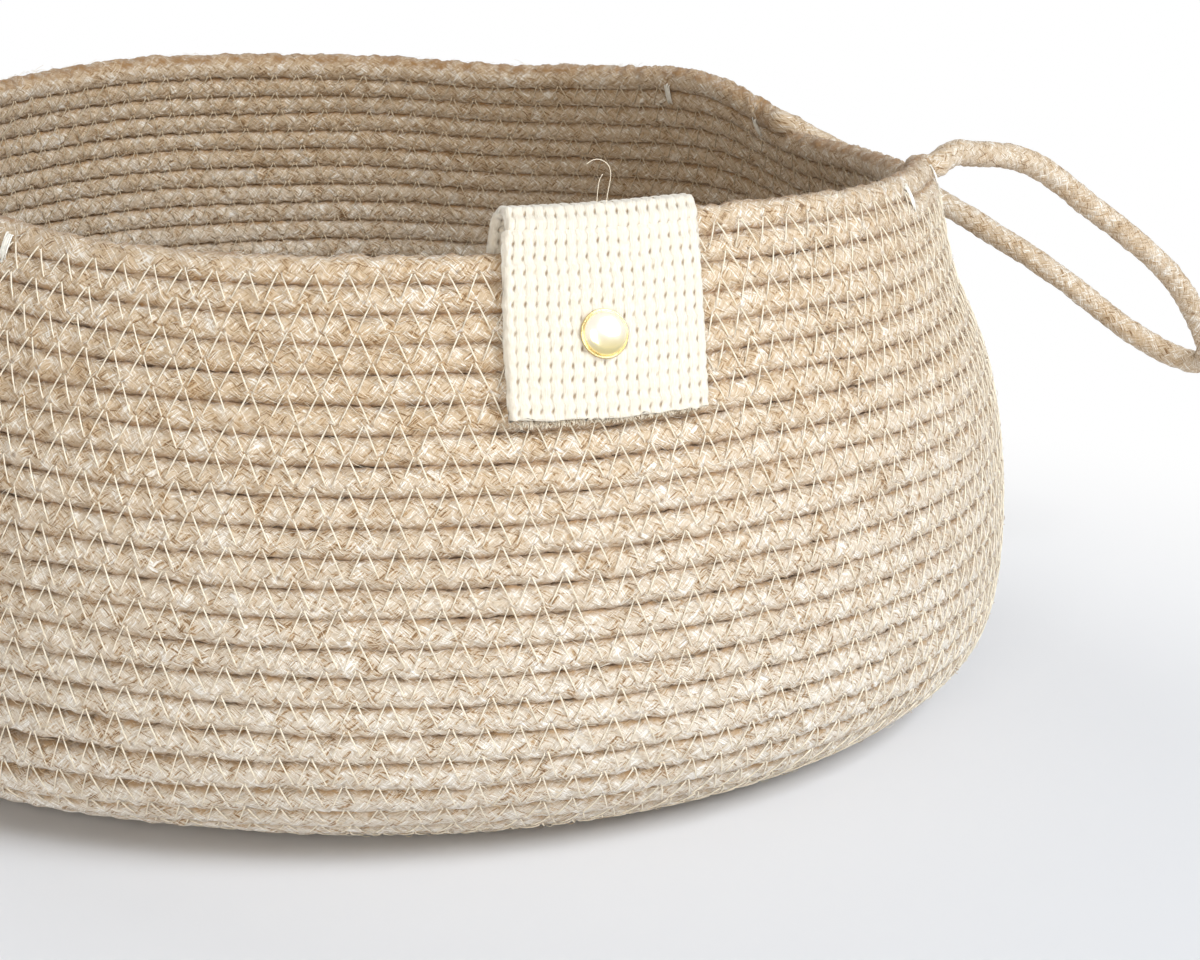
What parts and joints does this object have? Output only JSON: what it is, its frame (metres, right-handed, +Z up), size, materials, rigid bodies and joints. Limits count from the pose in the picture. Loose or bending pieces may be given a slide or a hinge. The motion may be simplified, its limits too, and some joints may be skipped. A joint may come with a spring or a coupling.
{
  "type": "coiled rope storage basket",
  "caption": "Low round storage basket coiled from sewn braided rope, with a drooping rope loop handle on each side and a webbing tab riveted over the rim.",
  "frame": {"origin": "middle of the base, on the surface the basket stands on", "axes": "+Z up, -Y towards the front with the tab, +X and -X towards the handles"},
  "size_m": [0.4085, 0.2676, 0.1197],
  "materials": {
    "rope": "heathered jute and cotton braid, matte",
    "rope_pale": "heathered jute and cotton braid, matte",
    "webbing": "woven cotton webbing, matte",
    "thread": "polyester sewing thread, slight sheen",
    "rivet": "polished pale brass"
  },
  "bodies": {
    "basket": {"base_coil": "rope_pale", "wall_coil_foot": "rope", "wall_coil_belly": "rope", "wall_coil_middle": "rope", "wall_coil_top": "rope", "rim_back": "rope", "rim_front": "rope", "front_tab": "webbing", "rivet_cap": "rivet", "rivet_stud": "rivet", "tack_left_front_root": "thread", "tack_left_front_end": "thread", "tack_left_back_root": "thread", "tack_left_back_end": "thread", "tack_right_front_root": "thread", "tack_right_front_end": "thread", "tack_right_back_root": "thread", "tack_right_back_end": "thread"},
    "right_handle": {"handle_right": "rope"},
    "left_handle": {"handle_left": "rope"}
  },
  "joints": [
    {"name": "right_handle_lift", "type": "hinge", "parent": "basket", "child": "right_handle", "pos_m": [0.10022, -0.00701, 0.10819], "axis": [-0.0718, -0.9971, 0.0243], "range_deg": [-4, 115]},
    {"name": "left_handle_lift", "type": "hinge", "parent": "basket", "child": "left_handle", "pos_m": [-0.10142, 0.00387, 0.1062], "axis": [0.0405, 0.9989, 0.0243], "range_deg": [-4, 115]}
  ]
}
